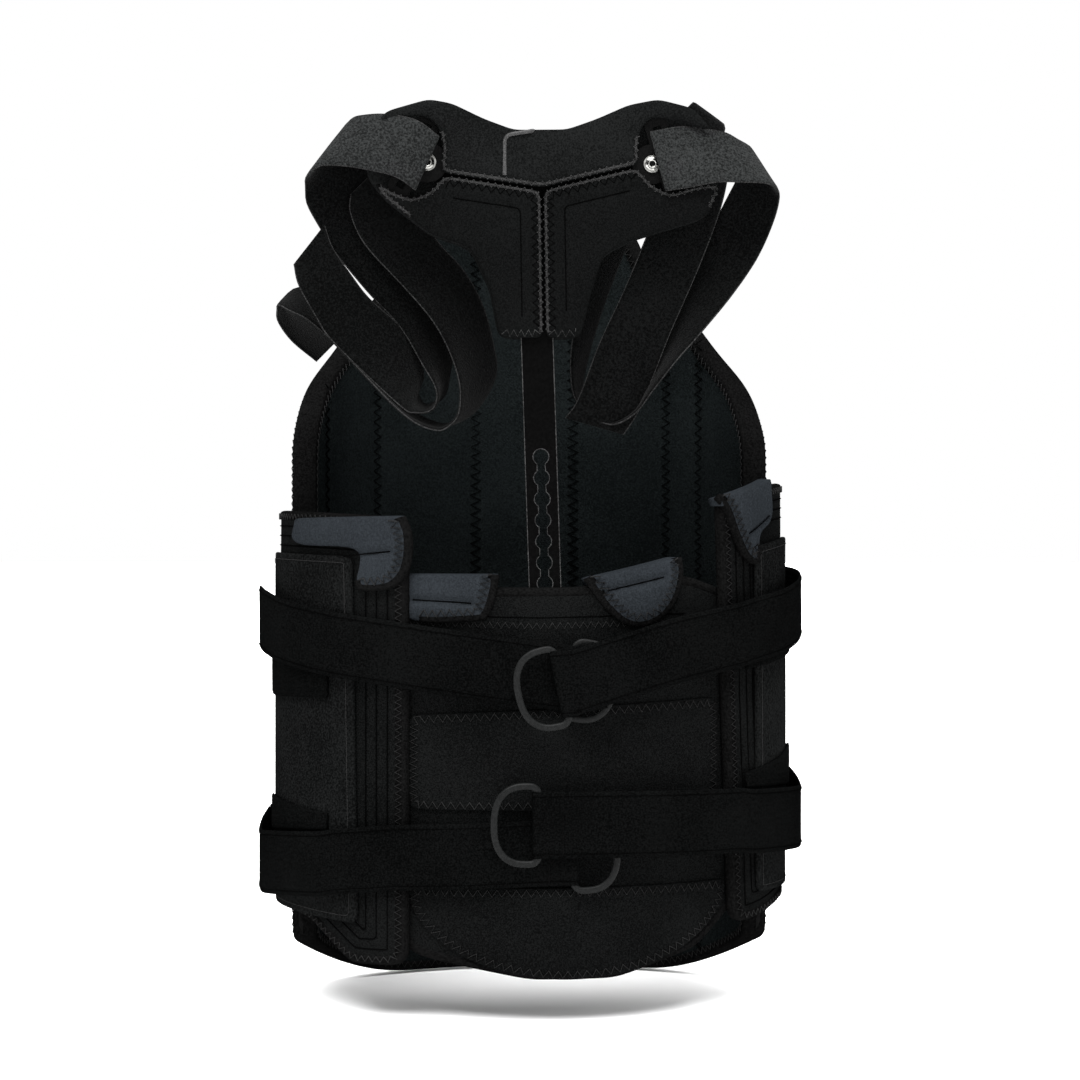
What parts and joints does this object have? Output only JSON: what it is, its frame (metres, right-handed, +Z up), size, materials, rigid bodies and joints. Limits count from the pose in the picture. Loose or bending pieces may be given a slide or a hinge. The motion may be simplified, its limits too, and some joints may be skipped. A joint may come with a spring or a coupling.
{
  "type": "thoraco-lumbar back brace",
  "caption": "Back brace: curved padded back and abdominal shells, side wings, hook-and-loop straps with pull rings, and a height-adjustable sternal bar with yoke and shoulder straps.",
  "frame": {"origin": "on the long axis of the wearer's trunk, at the waist", "axes": "+Z up the trunk, +X to the wearer's left, -Y out of the wearer's front"},
  "size_m": [0.3472, 0.2306, 0.56],
  "materials": {
    "lining": "brushed navy lining",
    "flap_lining": "slate-blue knitted lining",
    "neoprene": "smooth fine-knit neoprene laminate",
    "loop_fabric": "fuzzy loop fabric",
    "binding": "black binding tape, zigzag stitched",
    "webbing": "soft loop-faced webbing",
    "shell_plastic": "moulded",
    "ear_plastic": "moulded",
    "ring_plastic": "moulded, satin",
    "bar_metal": "black anodised",
    "loop_metal": "black coated wire",
    "rivet_metal": "nickel plated"
  },
  "bodies": {
    "root": {"abdominal_bib": "neoprene", "abdominal_cover": "loop_fabric", "abdominal_liner": "lining", "abdominal_shell": "shell_plastic", "bar_guide": "shell_plastic", "bar_lock_stud": "rivet_metal", "centre_panel": "neoprene", "front_flap_left": "flap_lining", "front_flap_right": "flap_lining", "posterior_binding": "binding", "posterior_cover": "loop_fabric", "posterior_liner": "lining", "posterior_shell": "shell_plastic", "posterior_stays": "bar_metal", "slide_loop_lower_left": "loop_metal", "slide_loop_lower_right": "loop_metal", "slide_loop_upper_left": "loop_metal", "slide_loop_upper_right": "loop_metal", "slide_tab_lower_left": "webbing", "slide_tab_lower_right": "webbing", "slide_tab_upper_left": "webbing", "slide_tab_upper_right": "webbing", "strap_side_lower_left": "webbing", "strap_side_lower_right": "webbing", "strap_side_upper_left": "webbing", "strap_side_upper_right": "webbing", "wing_cover_left": "loop_fabric", "wing_cover_right": "loop_fabric", "wing_flap_left": "flap_lining", "wing_flap_right": "flap_lining", "wing_liner_left": "lining", "wing_liner_right": "lining", "wing_pull_left": "webbing", "wing_pull_right": "webbing", "wing_shell_left": "shell_plastic", "wing_shell_right": "shell_plastic"},
    "sternal": {"sternal_bar": "bar_metal", "sternal_frame": "bar_metal", "frame_rivets": "rivet_metal", "yoke_pad": "neoprene", "collar": "neoprene", "yoke_wing_left": "neoprene", "yoke_wing_right": "neoprene", "collar_hook": "rivet_metal", "ear_rivets": "rivet_metal", "ear_washers": "rivet_metal"},
    "shoulder_left": {"ear_left": "ear_plastic", "shoulder_strap_left": "webbing"},
    "shoulder_right": {"ear_right": "ear_plastic", "shoulder_strap_right": "webbing"},
    "front_upper_right": {"strap_front_upper_right": "webbing"},
    "ring_upper_right": {"d_ring_upper_right": "ring_plastic"},
    "front_lower_right": {"strap_front_lower_right": "webbing"},
    "ring_lower_right": {"d_ring_lower_right": "ring_plastic"},
    "front_upper_left": {"strap_front_upper_left": "webbing"},
    "ring_upper_left": {"d_ring_upper_left": "ring_plastic"},
    "front_lower_left": {"strap_front_lower_left": "webbing"},
    "ring_lower_left": {"d_ring_lower_left": "ring_plastic"}
  },
  "joints": [
    {"name": "sternal_slide", "type": "slide", "parent": "root", "child": "sternal", "axis": [-0.0325, 0, 0.9995], "range_m": [-0.0381, 0.0381]},
    {"name": "ear_left_pivot", "type": "hinge", "parent": "sternal", "child": "shoulder_left", "pos_m": [-0.0675, -0.0998, 0.352], "axis": [0, 1, 0], "range_deg": [-7, 7]},
    {"name": "ear_right_pivot", "type": "hinge", "parent": "sternal", "child": "shoulder_right", "pos_m": [0.0675, -0.0998, 0.352], "axis": [0, 1, 0], "range_deg": [-7, 7]},
    {"name": "peel_upper_right", "type": "hinge", "parent": "root", "child": "front_upper_right", "pos_m": [0.12873, -0.08145, 0], "axis": [0, 0, 1], "range_deg": [0, 60]},
    {"name": "ring_upper_right_swing", "type": "hinge", "parent": "front_upper_right", "child": "ring_upper_right", "pos_m": [0.012, -0.1201, 0.0395], "axis": [-0.2079, 0, 0.9781], "range_deg": [0, 80]},
    {"name": "peel_lower_right", "type": "hinge", "parent": "root", "child": "front_lower_right", "pos_m": [0.12873, -0.08145, 0], "axis": [0, 0, 1], "range_deg": [0, 60]},
    {"name": "ring_lower_right_swing", "type": "hinge", "parent": "front_lower_right", "child": "ring_lower_right", "pos_m": [-0.002, -0.1201, -0.043], "axis": [0, 0, 1], "range_deg": [0, 80]},
    {"name": "peel_upper_left", "type": "hinge", "parent": "root", "child": "front_upper_left", "pos_m": [-0.12873, -0.08145, 0], "axis": [0, 0, -1], "range_deg": [0, 18]},
    {"name": "ring_upper_left_swing", "type": "hinge", "parent": "front_upper_left", "child": "ring_upper_left", "pos_m": [0.0175, -0.1123, 0.043], "axis": [-0.1392, 0, -0.9903], "range_deg": [0, 30]},
    {"name": "peel_lower_left", "type": "hinge", "parent": "root", "child": "front_lower_left", "pos_m": [-0.12873, -0.08145, 0], "axis": [0, 0, -1], "range_deg": [0, 18]},
    {"name": "ring_lower_left_swing", "type": "hinge", "parent": "front_lower_left", "child": "ring_lower_left", "pos_m": [0.019, -0.1123, -0.06], "axis": [0.0349, 0, -0.9994], "range_deg": [0, 30]}
  ],
  "couplings": [
    {"joint": "peel_upper_left", "follows": "peel_upper_right", "ratio": 0.3},
    {"joint": "ring_upper_left_swing", "follows": "peel_upper_right", "ratio": 0.5},
    {"joint": "peel_lower_left", "follows": "peel_lower_right", "ratio": 0.3},
    {"joint": "ring_lower_left_swing", "follows": "peel_lower_right", "ratio": 0.5}
  ]
}
